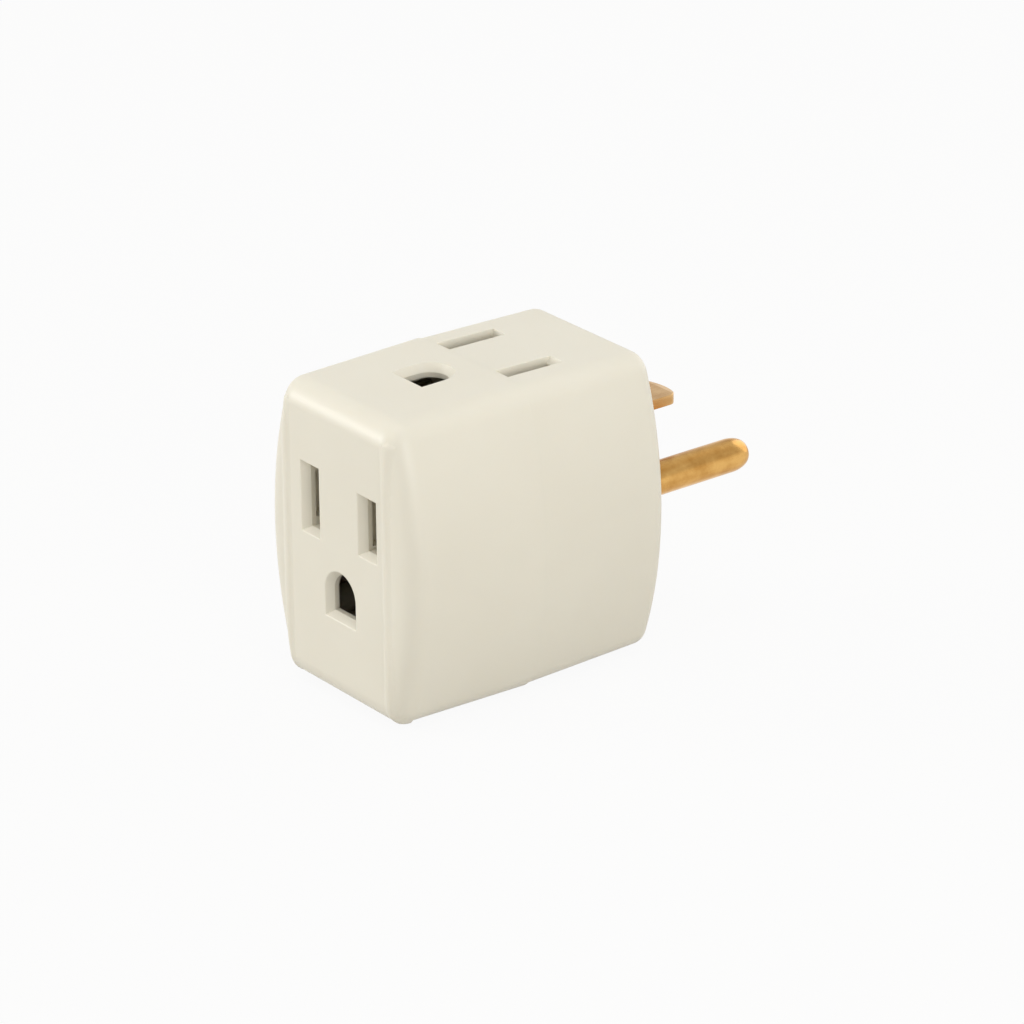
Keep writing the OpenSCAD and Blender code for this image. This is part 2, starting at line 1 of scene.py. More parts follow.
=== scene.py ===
import math
import bmesh
import bpy
from mathutils import Matrix, Vector
from mathutils.bvhtree import BVHTree


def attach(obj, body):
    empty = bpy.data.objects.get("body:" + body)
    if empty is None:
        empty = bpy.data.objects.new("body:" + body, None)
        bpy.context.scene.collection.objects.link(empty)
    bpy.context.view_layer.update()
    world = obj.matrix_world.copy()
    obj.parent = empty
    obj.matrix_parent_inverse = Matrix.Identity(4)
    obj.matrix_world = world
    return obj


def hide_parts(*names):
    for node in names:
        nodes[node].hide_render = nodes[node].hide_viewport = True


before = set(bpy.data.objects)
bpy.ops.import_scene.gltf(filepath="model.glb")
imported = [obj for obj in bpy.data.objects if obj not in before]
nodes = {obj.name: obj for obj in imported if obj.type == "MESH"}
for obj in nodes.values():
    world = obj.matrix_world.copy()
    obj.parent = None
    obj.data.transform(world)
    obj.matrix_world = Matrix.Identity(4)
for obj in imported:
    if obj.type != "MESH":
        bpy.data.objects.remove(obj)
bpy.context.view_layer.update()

mm = 0.001
overlap = 0.4  # mm, how far cutting and joining shapes run past each other
hair = 0.01  # mm, keeps the faces of cutting shapes from lying in one plane
weld = 1e-4  # mm, drawn points nearer than this are one point
wideWeld = 1e-3  # mm, the same after the booleans

# Both halves of the body, in mm: X across, Y along the prongs, plug face at Y = 0
body = {
    "depth": 43.5,
    "height": 44.2,
    "topWidth": 24.8,
    "sideBow": 4.3,
    "cornerRadius": 4.0,
    "frontRadius": 3.4,
    "rearRadius": 2.0,
    "draft": math.tan(math.radians(1.0)),
    "wall": 2.4,
    "seamShift": 0.55,
    "seamStep": 0.15,
    "seamRound": 0.05,
    "sideSteps": 12,
    "cornerSteps": 10,
    "roundSteps": 10,
}
halfHeight = body["height"] / 2
sideRadius = (halfHeight ** 2 + body["sideBow"] ** 2) / (2 * body["sideBow"])
sideCentre = body["topWidth"] / 2 + body["sideBow"] - sideRadius
cornerZ = halfHeight - body["cornerRadius"]
cornerX = sideCentre + math.sqrt((sideRadius - body["cornerRadius"]) ** 2 - cornerZ ** 2)
cornerAngle = math.atan2(cornerZ, cornerX - sideCentre)
middleY = -body["depth"] / 2
seamY = middleY + body["seamShift"]
frontDraft = (body["depth"] + seamY) * body["draft"]
rearDraft = -seamY * body["draft"]


# small helpers


def toLinear(hexColour):
    channels = [int(hexColour[i:i + 2], 16) / 255 for i in (0, 2, 4)]
    return tuple(c / 12.92 if c <= 0.04045 else ((c + 0.055) / 1.055) ** 2.4 for c in channels) + (1.0,)


def makeObject(name, bm):
    # Everything is drawn in mm and brought to metres here
    bmesh.ops.scale(bm, vec=(mm, mm, mm), verts=bm.verts)
    bmesh.ops.recalc_face_normals(bm, faces=bm.faces)
    mesh = bpy.data.meshes.new(name)
    bm.to_mesh(mesh)
    bm.free()
    thing = bpy.data.objects.new(name, mesh)
    bpy.context.scene.collection.objects.link(thing)
    return thing


def combine(thing, tool, operation):
    # Exact boolean, applied at once; the tool object goes away
    step = thing.modifiers.new("combine", "BOOLEAN")
    step.operation = operation
    step.object = tool
    step.solver = "EXACT"
    graph = bpy.context.evaluated_depsgraph_get()
    mesh = bpy.data.meshes.new_from_object(thing.evaluated_get(graph))
    thing.modifiers.clear()
    thing.data = mesh
    bpy.data.objects.remove(tool)


def addBlock(bm, low, high, place=Matrix()):
    low, high = Vector(low), Vector(high)
    sized = Matrix.Translation((low + high) / 2) @ Matrix.Diagonal((high - low).to_4d())
    bmesh.ops.create_cube(bm, size=1.0, matrix=place @ sized)


def addRod(bm, radius, start, end, x, z, segments=32):
    # Round rod along Y
    turned = Matrix.Translation((x, (start + end) / 2, z)) @ Matrix.Rotation(math.pi / 2, 4, "X")
    bmesh.ops.create_cone(bm, cap_ends=True, segments=segments, radius1=radius, radius2=radius,
                          depth=end - start, matrix=turned)


def vertsOf(geometry):
    return [g for g in geometry if isinstance(g, bmesh.types.BMVert)]


def edgesOf(geometry):
    return [g for g in geometry if isinstance(g, bmesh.types.BMEdge)]


def skin(bm, loops):
    # Joins a row of closed loops that are all alike and caps both ends
    for one, other in zip(loops, loops[1:]):
        bmesh.ops.bridge_loops(bm, edges=one + other)
    for end in (loops[0], loops[-1]):
        bmesh.ops.edgeloop_fill(bm, edges=end)


def finishPiece(piece, material, sharpAngle=30.0):
    piece.data.materials.clear()
    piece.data.materials.append(material)
    for face in piece.data.polygons:
        face.use_smooth = True
    piece.data.set_sharp_from_angle(angle=math.radians(sharpAngle))
    even = piece.modifiers.new("even normals", "WEIGHTED_NORMAL")
    even.keep_sharp = True
    even.weight = 80
    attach(piece, "root")


# materials


def addNode(tree, kind, inputs=None, **settings):
    node = tree.nodes.new(kind)
    for name, value in settings.items():
        setattr(node, name, value)
    for socket, value in (inputs or {}).items():
        if isinstance(value, bpy.types.NodeSocket):
            tree.links.new(value, node.inputs[socket])
        else:
            node.inputs[socket].default_value = value
    return node


def newMaterial(name):
    material = bpy.data.materials.new(name)
    material.use_nodes = True
    tree = material.node_tree
    tree.nodes.clear()
    return material, tree


def noise(tree, place, sizeMm, detail, roughness):
    # Noise whose features are about sizeMm millimetres across
    return addNode(tree, "ShaderNodeTexNoise", {
        "Vector": place, "Scale": 1.0 / (sizeMm * mm), "Detail": detail,
        "Roughness": roughness}).outputs["Fac"]


def blendColours(tree, share, first, second):
    # The Mix node's colour sockets have no names of their own, so they go by number
    return addNode(tree, "ShaderNodeMix", {
        0: share, 6: toLinear(first), 7: toLinear(second)}, data_type="RGBA").outputs[2]


def blendValues(tree, share, first, second):
    return addNode(tree, "ShaderNodeMix", {0: share, 2: first, 3: second}, data_type="FLOAT").outputs[0]


def mapRange(tree, value, span, result=(0.0, 1.0)):
    return addNode(tree, "ShaderNodeMapRange", {
        "Value": value, "From Min": span[0], "From Max": span[1],
        "To Min": result[0], "To Max": result[1]}).outputs["Result"]


def bumpNormal(tree, height, strength, depthMm):
    return addNode(tree, "ShaderNodeBump", {
        "Height": height, "Strength": strength, "Distance": depthMm * mm}).outputs["Normal"]


def mouldedPlastic():
    # Ivory thermoplastic from a spark-eroded mould: satin, a little translucent, very fine grain
    look = {
        "colour": "E5E0D0",
        "flow": "E0DAC9",
        "flowMm": 14.0,
        "grainMm": 0.35,
        "grainStrength": 0.25,
        "grainDepth": 0.006,  # mm, what the grain stands over the face
        "grainSpan": (0.3, 0.7),
        "roughness": (0.38, 0.48),
        "index": 1.49,
        "scatter": 0.08,  # share of the light that goes under the surface
        "scatterReach": 0.8,  # mm
        "scatterColour": (1.2, 0.9, 0.6),
    }
    material, tree = newMaterial("moulded ivory plastic")
    place = addNode(tree, "ShaderNodeTexCoord").outputs["Object"]
    flow = noise(tree, place, look["flowMm"], detail=2.0, roughness=0.5)
    # Real erosion grain is about 0.03 mm; it is drawn ten times coarser so that it shows
    grain = noise(tree, place, look["grainMm"], detail=3.0, roughness=0.6)
    shader = addNode(tree, "ShaderNodeBsdfPrincipled", {
        "Base Color": blendColours(tree, flow, look["colour"], look["flow"]),
        "Roughness": mapRange(tree, grain, look["grainSpan"], look["roughness"]),
        "IOR": look["index"],
        "Normal": bumpNormal(tree, grain, look["grainStrength"], look["grainDepth"]),
        "Subsurface Weight": look["scatter"],
        "Subsurface Radius": look["scatterColour"],
        "Subsurface Scale": look["scatterReach"] * mm})
    addNode(tree, "ShaderNodeOutputMaterial", {"Surface": shader.outputs["BSDF"]})
    return material


def brass(name, look):
    # Cartridge brass; rolling or turning and handling leave streaks along one direction
    shared = {"tintSpan": (0.38, 0.62), "glossSpan": (0.35, 0.65), "reliefDepth": 0.01}  # depth in mm
    material, tree = newMaterial(name)
    place = addNode(tree, "ShaderNodeTexCoord").outputs["Object"]
    stretched = addNode(tree, "ShaderNodeMapping", {"Vector": place, "Scale": look["stretch"]})
    lines = noise(tree, stretched.outputs["Vector"], look["lineMm"], detail=2.0, roughness=0.4)
    stain = noise(tree, place, look["stainMm"], detail=3.0, roughness=0.55)
    mottle = blendValues(tree, look["stainShare"], lines, stain)
    contrast = mapRange(tree, mottle, shared["tintSpan"])
    shader = addNode(tree, "ShaderNodeBsdfPrincipled", {
        "Base Color": blendColours(tree, contrast, look["colour"], look["tarnish"]),
        "Metallic": 1.0,
        "Roughness": mapRange(tree, lines, shared["glossSpan"], look["roughness"]),
        "Normal": bumpNormal(tree, lines, look["relief"], shared["reliefDepth"])})
    addNode(tree, "ShaderNodeOutputMaterial", {"Surface": shader.outputs["BSDF"]})
    return material


def platedSteel():
    # Zinc-plated steel rivets, tumbled: pale grey with soft blotches
    look = {"colour": "B9BCBE", "dull": "9EA1A3", "blotchMm": 0.8, "roughness": (0.25, 0.5)}
    material, tree = newMaterial("zinc-plated steel")
    place = addNode(tree, "ShaderNodeTexCoord").outputs["Object"]
    blotch = noise(tree, place, look["blotchMm"], detail=3.0, roughness=0.6)
    shader = addNode(tree, "ShaderNodeBsdfPrincipled", {
        "Base Color": blendColours(tree, blotch, look["colour"], look["dull"]),
        "Metallic": 1.0,
        "Roughness": mapRange(tree, blotch, (0.0, 1.0), look["roughness"])})
    addNode(tree, "ShaderNodeOutputMaterial", {"Surface": shader.outputs["BSDF"]})
    return material


plastic = mouldedPlastic()
rolledBrass = brass("rolled brass", {
    "colour": "E2BA84", "tarnish": "CA9E66", "roughness": (0.16, 0.28), "lineMm": 1.0,
    "stainMm": 2.5, "stainShare": 0.5, "stretch": (1.0, 0.08, 1.0), "relief": 0.12})
turnedBrass = brass("turned brass", {
    "colour": "E3B268", "tarnish": "BF8A44", "roughness": (0.14, 0.28), "lineMm": 1.3,
    "stainMm": 2.2, "stainShare": 0.45, "stretch": (1.0, 0.12, 1.0), "relief": 0.2})
stripBrass = brass("stamped brass strip", {
    "colour": "D9B070", "tarnish": "B58C50", "roughness": (0.26, 0.44), "lineMm": 0.3,
    "stainMm": 3.5, "stainShare": 0.5, "stretch": (1.0, 0.1, 1.0), "relief": 0.25})
springBrass = brass("spring brass", {
    "colour": "B08A4E", "tarnish": "7E5F33", "roughness": (0.28, 0.46), "lineMm": 0.3,
    "stainMm": 2.0, "stainShare": 0.5, "stretch": (1.0, 1.0, 0.12), "relief": 0.25})
steel = platedSteel()
print("materials made")


# housing


def addOutline(bm, inset, y):
    # One closed outline of the body across Y: a quarter made by spinning a point, then mirrored
    part = bmesh.new()
    start = part.verts.new((sideCentre + sideRadius - inset, y, 0))
    side = bmesh.ops.spin(part, geom=[start], cent=(sideCentre, y, 0), axis=(0, -1, 0),
                          angle=cornerAngle, steps=body["sideSteps"])
    corner = bmesh.ops.spin(part, geom=vertsOf(side["geom_last"]), cent=(cornerX, y, cornerZ),
                            axis=(0, -1, 0), angle=math.pi / 2 - cornerAngle, steps=body["cornerSteps"])
    middle = bmesh.ops.extrude_vert_indiv(part, verts=vertsOf(corner["geom_last"]))["verts"][0]
    middle.co.x = 0
    for axis in "XZ":
        bmesh.ops.mirror(part, geom=part.verts[:] + part.edges[:], merge_dist=weld, axis=axis)
    bmesh.ops.remove_doubles(part, verts=part.verts, dist=weld)
    mesh = bpy.data.meshes.new("outline")
    part.to_mesh(mesh)
    part.free()
    known = set(bm.edges)
    bm.from_mesh(mesh)
    bpy.data.meshes.remove(mesh)
    return [e for e in bm.edges if e not in known]


def loft(bm, sections):
    # Skins a row of outlines, each given as (inset, y)
    skin(bm, [addOutline(bm, inset, y) for inset, y in sections])


def roundedSections(endY, radius, draft, step, toward):
    # Sections from the seam to the rounded end face; toward is +1 at the plug end
    sections = [(step + body["seamRound"], seamY), (step, seamY + toward * body["seamRound"])]
    for i in range(body["roundSteps"] + 1):
        angle = math.pi / 2 * i / body["roundSteps"]
        inset = draft + step + radius * (1 - math.cos(angle))
        sections.append((inset, endY - toward * radius * (1 - math.sin(angle))))
    return sections


# Outlets are drawn facing +Z: X across, Y up, slots above the middle, ground hole below
outlet = {
    "slotSpacing": 12.7,
    "groundOffset": 11.9,
    "slotWidth": 2.3,
    "neutralLength": 8.9,
    "hotLength": 7.5,
    "groundWidth": 5.3,
    "groundFlat": 3.1,
    "leadDepth": 1.1,
    "groundLeadWidth": 6.9,
    "groundLeadFlat": 3.85,
    "groundSteps": 32,
    "frontLead": (4.2, 10.3, 9.0),  # width, neutral length, hot length
    "sideLead": (2.85, 9.6, 9.6),
    "frontX": 0.6,
    "rimRound": 0.15,
    "prongRound": 0.12,
    "roundSteps": 5,
    "wellWidth": 5.2,
    "wellLength": 6.6,
    "wellWall": 1.0,
    "wellDepth": 6.5,
    "pocketWidth": 8.0,
    "thinnedWall": 1.8,  # the wall is this thin behind the slots and ground holes
}
sideFace = halfHeight - outlet["groundOffset"] / 2 * body["draft"]
onFront = (Matrix.Translation((outlet["frontX"], -body["depth"], 0))
           @ Matrix.Rotation(math.pi / 2, 4, "X"))
onTop = Matrix.Translation((0, middleY, sideFace))
onBottom = Matrix.Translation((0, middleY, -sideFace)) @ Matrix.Rotation(math.pi, 4, "X")


def addSlots(bm, place, width, lengths, low, high):
    for side, length in zip((-1, 1), lengths):
        x = side * outlet["slotSpacing"] / 2
        y = outlet["groundOffset"] / 2
        addBlock(bm, (x - width / 2, y - length / 2, low), (x + width / 2, y + length / 2, high), place)


def groundRim(bm, width, flat, z):
    # Edges of the ground hole's outline at one height: round above, square below
    centre = Vector((0, -outlet["groundOffset"] / 2, z))
    right = bm.verts.new(centre + Vector((width / 2, 0, 0)))
    arc = bmesh.ops.spin(bm, geom=[right], cent=centre, axis=(0, 0, 1), angle=math.pi,
                         steps=outlet["groundSteps"])
    feet = bmesh.ops.extrude_vert_indiv(bm, verts=[right] + vertsOf(arc["geom_last"]))
    bmesh.ops.translate(bm, vec=(0, -flat, 0), verts=feet["verts"])
    bm.edges.new(feet["verts"])
    return rimFrom(right)


def slotRim(bm, x, width, length, z):
    # Edges of one slot's outline at one height
    centre = Matrix.Translation((x, outlet["groundOffset"] / 2, z))
    made = bmesh.ops.create_grid(bm, x_segments=1, y_segments=1, size=0.5,
                                 matrix=centre @ Matrix.Diagonal((width, length, 1, 1)))
    rim = rimFrom(made["verts"][0])
    bmesh.ops.delete(bm, geom=made["verts"][0].link_faces[:], context="FACES_ONLY")
    return rim


def rimFrom(vertex):
    # All edges that hang together with the vertex
    chain, rim = [vertex], set()
    while chain:
        for edge in chain.pop().link_edges:
            if edge not in rim:
                rim.add(edge)
                chain.extend(edge.verts)
    return list(rim)


def addFunnel(bm, place, rims):
    # Skins a row of rims and puts the result in its place
    skin(bm, rims)
    bmesh.ops.transform(bm, matrix=place, verts=list({v for rim in rims for e in rim for v in e.verts}))


def groundPockets(places):
    # Thins the wall behind the ground holes, as the wells do behind the slots
    bm = bmesh.new()
    y = -outlet["groundOffset"] / 2
    half = outlet["pocketWidth"] / 2
    for place in places:
        addBlock(bm, (-half, y - half, -2 * body["wall"]), (half, y + half, -outlet["thinnedWall"]),
                 place)
    return makeObject("ground pockets", bm)


def leadIns(slotPlaces, groundPlaces):
    # Funnels that narrow from the face to the slot or hole
    bm = bmesh.new()
    levels = (-outlet["leadDepth"], 0, overlap)
    for place, (width, *lengths) in slotPlaces:
        for side, wide, narrow in zip((-1, 1), lengths, (outlet["neutralLength"], outlet["hotLength"])):
            x = side * outlet["slotSpacing"] / 2
            sizes = ((outlet["slotWidth"], narrow), (width, wide), (width, wide))
            addFunnel(bm, place, [slotRim(bm, x, *size, z) for size, z in zip(sizes, levels)])
    for place in groundPlaces:
        foot = (outlet["groundWidth"], outlet["groundFlat"])
        face = (outlet["groundLeadWidth"], outlet["groundLeadFlat"])
        addFunnel(bm, place, [groundRim(bm, *size, z) for size, z in zip((foot, face, face), levels)])
    return makeObject("lead-ins", bm)


def throughCuts(slotPlaces, groundPlaces):
    # The slots and holes that go right through the wall, a hair wider than the funnels' feet
    bm = bmesh.new()
    depth = -2 * body["wall"]
    for place, _ in slotPlaces:
        addSlots(bm, place, outlet["slotWidth"] + 2 * hair,
                 (outlet["neutralLength"] + 2 * hair, outlet["hotLength"] + 2 * hair), depth, overlap)
    for place in groundPlaces:
        rims = [groundRim(bm, outlet["groundWidth"] + 2 * hair, outlet["groundFlat"] + hair, z)
                for z in (depth, overlap)]
        addFunnel(bm, place, rims)
    return makeObject("through cuts", bm)


def wells(places, inside):
    # Frames behind the slots that steady the contacts; inside gives their openings
    bm = bmesh.new()
    edge = 0 if inside else outlet["wellWall"]
    width = outlet["wellWidth"] + 2 * edge
    length = outlet["wellLength"] + 2 * edge
    low = -outlet["wellDepth"] - (overlap if inside else 0)
    high = -outlet["thinnedWall"] if inside else -body["wall"] + overlap
    for place in places:
        addSlots(bm, place, width, (length, length), low, high)
    return makeObject("wells", bm)


def roundRims(piece, planes):
    # Softens the edges where the cuts meet a moulded face; planes are (point, normal, width in mm)
    alongFace, acrossFace, near = 0.99, 0.9, 0.05 * mm
    bm = bmesh.new()
    bm.from_mesh(piece.data)
    bmesh.ops.remove_doubles(bm, verts=bm.verts, dist=wideWeld * mm)
    for point, normal, width in planes:
        normal = Vector(normal).normalized()
        rim = []
        for edge in bm.edges:
            if len(edge.link_faces) != 2:
                continue
            flat = [f for f in edge.link_faces if f.normal.dot(normal) > alongFace]
            wall = [f for f in edge.link_faces if f.normal.dot(normal) < acrossFace]
            away = max(abs((v.co - Vector(point) * mm).dot(normal)) for v in edge.verts)
            if len(flat) == 1 and len(wall) == 1 and away < near and edge.is_convex:
                rim.append(edge)
        bmesh.ops.bevel(bm, geom=rim, offset=width * mm, offset_type="OFFSET",
                        segments=outlet["roundSteps"], profile=0.5, affect="EDGES",
                        clamp_overlap=True, material=-1)
    bm.to_mesh(piece.data)
    bm.free()


# Four bosses that stand on both end walls and meet at the seam; dowels on the front ones
bosses = {"radius": 2.0, "height": 13.0, "lap": 0.6, "dowelRadius": 1.1, "dowelLength": 3.0, "gap": 0.1}
bossX = (sideCentre + math.sqrt(sideRadius ** 2 - bosses["height"] ** 2)
         - body["wall"] - bosses["radius"] + bosses["lap"])
tongue = {"length": 1.5, "thickness": 0.9, "gap": 0.1}


def bossRods(radius, start, end):
    bm = bmesh.new()
    for x in (-bossX, bossX):
        for z in (-bosses["height"], bosses["height"]):
            addRod(bm, radius, start, end, x, z)
    return makeObject("boss rods", bm)


def prism(name, inset, low, high):
    # Straight length of the body's outline between two places along Y
    bm = bmesh.new()
    loft(bm, [(inset, low), (inset, high)])
    return makeObject(name, bm)


def tongueBand(gap):
    # Band inside the wall that laps over the seam; the gap makes the rebate that takes it
    inner = body["wall"] + frontDraft
    low, high = seamY - 2 * tongue["length"], seamY + tongue["length"] + gap
    band = prism("tongue", inner - tongue["thickness"] - gap, low, high)
    combine(band, prism("tongue core", inner + gap, low - overlap, high + overlap), "DIFFERENCE")
    return band


# Ribs that run down the outlet face and round its foot, with hollow flanks
bead = {
    "inset": 1.3,
    "top": 2.6,  # below the top of the body
    "profile": [  # distance from the middle and height over the face
        (0.1, 0.3), (0.25, 0.28), (0.4, 0.22), (0.58, 0.12), (0.78, 0.05), (1.0, 0.01), (1.7, -0.3)],
    "root": -1.1,
    "startDrop": 0.36,
    "castFrom": 8.0,  # out from the middle of the rounding, well outside the surface
    "step": 0.5,
    "footSteps": 12,
}


def beadRibs(form):
    # Every point of a rib is cast onto the rounded form, so that the rib keeps its height on the bends;
    # the first section lies below the surface, from which the rib rises over one step
    surface = BVHTree.FromObject(form, bpy.context.evaluated_depsgraph_get())
    footZ = halfHeight - frontDraft - body["frontRadius"]
    footY = body["frontRadius"] - body["depth"]
    topZ = halfHeight - bead["top"]
    count = round((topZ + footZ) / bead["step"])
    stations = [(topZ + (-footZ - topZ) * i / count, 0.0) for i in range(count)]
    stations += [(-footZ, math.pi / 2 * i / bead["footSteps"]) for i in range(bead["footSteps"] + 1)]
    right = bead["profile"] + [(bead["profile"][-1][0], bead["root"])]
    section = right + [(-x, height) for x, height in reversed(right)]
    bm = bmesh.new()
    for side in (-1, 1):
        middle = side * (body["topWidth"] / 2 - bead["inset"])
        loops = []
        for z, turn in stations:
            drop = bead["startDrop"] if z == topZ else 0
            inward = Vector((0, math.cos(turn), math.sin(turn)))
            start = Vector((middle, footY, z)) - bead["castFrom"] * inward
            ring = []
            for x, height in section:
                spot = surface.ray_cast((start + Vector((x, 0, 0))) * mm, inward)[0] / mm
                ring.append(bm.verts.new(spot - (height - drop) * inward))
            loops.append([bm.edges.new((ring[i - 1], ring[i])) for i in range(len(ring))])
        skin(bm, loops)
    return makeObject("beads", bm)


def cutOutlets(housing, slots, grounds):
    # Wells behind the slots, the wall thinned behind the ground holes, then the openings themselves
    wellPlaces = [place for place, _ in slots]
    combine(housing, wells(wellPlaces, False), "UNION")
    combine(housing, wells(wellPlaces, True), "DIFFERENCE")
    combine(housing, groundPockets(grounds), "DIFFERENCE")
    combine(housing, leadIns(slots, grounds), "DIFFERENCE")
    combine(housing, throughCuts(slots, grounds), "DIFFERENCE")


def softenHousing(housing, endY, endRound, toward, top):
    # Rims on the end face, then on the drafted top and bottom faces
    tilt = toward * body["draft"]
    roundRims(housing, [
        ((0, endY, 0), (0, toward, 0), endRound),
        ((0, seamY, top), (0, tilt, 1), outlet["rimRound"]),
        ((0, seamY, -top), (0, tilt, -1), outlet["rimRound"]),
    ])


def makeFrontHousing():
    bm = bmesh.new()
    loft(bm, roundedSections(-body["depth"], body["frontRadius"], frontDraft, 0, -1))
    housing = makeObject("front_shell", bm)
    combine(housing, beadRibs(housing), "UNION")
    cavity = prism("cavity", body["wall"] + frontDraft, -body["depth"] + body["wall"], seamY + overlap)
    combine(housing, cavity, "DIFFERENCE")
    combine(housing, tongueBand(0), "UNION")
    combine(housing, bossRods(bosses["radius"], -body["depth"] + body["wall"] / 2, seamY), "UNION")
    combine(housing, bossRods(bosses["dowelRadius"], seamY - overlap, seamY + bosses["dowelLength"]),
            "UNION")
    slots = [(onFront, outlet["frontLead"]), (onBottom, outlet["sideLead"])]
    cutOutlets(housing, slots, [onFront, onTop])
    softenHousing(housing, -body["depth"], outlet["rimRound"], -1, halfHeight)
    finishPiece(housing, plastic)
    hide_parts("front_housing")
    return housing


# Blades and pin; holeY, rivetY and the pin's faces are places along Y, negative inside the body
plug = {
    "x": 1.0,
    "gap": 0.1,
    "bladeLength": 17.0,
    "bladeInner": 7.9,
    "bladeWidth": 6.35,
    "bladeThickness": 1.52,
    "tipArc": 6.0,
    "tipRadius": 1.3,
    "tipSteps": 8,
    "bevelLength": 1.0,
    "bevelDepth": 0.16,
    "holeRadius": 1.6,
    "holeY": 11.8,
    "rivetRadius": 0.85,
    "rivetY": -5.2,
    "holeSteps": 48,
    "holeCut": 4.0,
    "edgeRound": 0.12,
    "edgeSteps": 2,
    "edgeAngle": 40.0,
    "pinLength": 21.5,
    "pinRadius": 2.38,
    "pinRelief": 0.2,
    "pinRoot": 0.1,
    "collarRadius": 3.3,
    "collarFace": -2.5,
    "collarThickness": 1.6,
    "tailFace": -9.8,
    "tailRadius": 1.5,
    "tailHeadRadius": 2.1,
    "tailHead": 0.6,
    "stripThickness": 0.8,
    "noseLength": 3.2,
    "noseRadius": 1.1,
    "noseTop": 0.35,
    "noseFlat": 0.7,
    "noseDrop": 0.1,
    "noseSteps": 12,
    "turnSteps": 72,
}
bladeX = plug["x"] - outlet["groundOffset"] / 2
pinX = plug["x"] + outlet["groundOffset"] / 2
bladeZ = outlet["slotSpacing"] / 2
rails = {"x": 12.0, "strip": 0.8, "gap": 0.3, "thickness": 1.0, "length": 2.6, "height": 6.0}


def prongHoles():
    bm = bmesh.new()
    halfX = plug["bladeWidth"] / 2 + plug["gap"]
    halfZ = plug["bladeThickness"] / 2 + plug["gap"]
    for z in (-bladeZ, bladeZ):
        addBlock(bm, (bladeX - halfX, -2 * body["wall"], z - halfZ),
                 (bladeX + halfX, overlap, z + halfZ))
    addRod(bm, plug["pinRadius"] + plug["gap"], -2 * body["wall"], overlap, pinX, 0, segments=64)
    return makeObject("prong holes", bm)


def stripRails():
    # Pairs of ribs on the rear wall that hold the side strips between them
    bm = bmesh.new()
    halfX, halfZ = rails["thickness"] / 2, rails["height"] / 2
    for side in (-1, 1):
        for face in (-1, 1):
            x = side * rails["x"] + face * (rails["strip"] / 2 + rails["gap"] + halfX)
            addBlock(bm, (x - halfX, -body["wall"] - rails["length"], -halfZ),
                     (x + halfX, -body["wall"] + overlap, halfZ))
    return makeObject("strip rails", bm)


def makeRearHousing():
    bm = bmesh.new()
    loft(bm, roundedSections(0, body["rearRadius"], rearDraft, body["seamStep"], 1))
    housing = makeObject("rear_shell", bm)
    inner = body["wall"] + rearDraft + body["seamStep"]
    combine(housing, prism("cavity", inner, seamY - overlap, -body["wall"]), "DIFFERENCE")
    combine(housing, bossRods(bosses["radius"], seamY + bosses["gap"], -body["wall"] / 2), "UNION")
    combine(housing, stripRails(), "UNION")
    combine(housing, prongHoles(), "DIFFERENCE")
    combine(housing, tongueBand(tongue["gap"]), "DIFFERENCE")
    combine(housing, bossRods(bosses["dowelRadius"] + bosses["gap"], seamY - overlap,
                              seamY + bosses["dowelLength"] + rails["gap"]), "DIFFERENCE")
    cutOutlets(housing, [(onTop, outlet["sideLead"])], [onBottom])
    softenHousing(housing, 0, outlet["prongRound"], 1, halfHeight - body["seamStep"])
    finishPiece(housing, plastic)
    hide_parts("rear_housing")
    return housing


frontShell = makeFrontHousing()
rearShell = makeRearHousing()
print("housing halves made:", len(frontShell.data.polygons), "and", len(rearShell.data.polygons),
      "faces")


# prongs


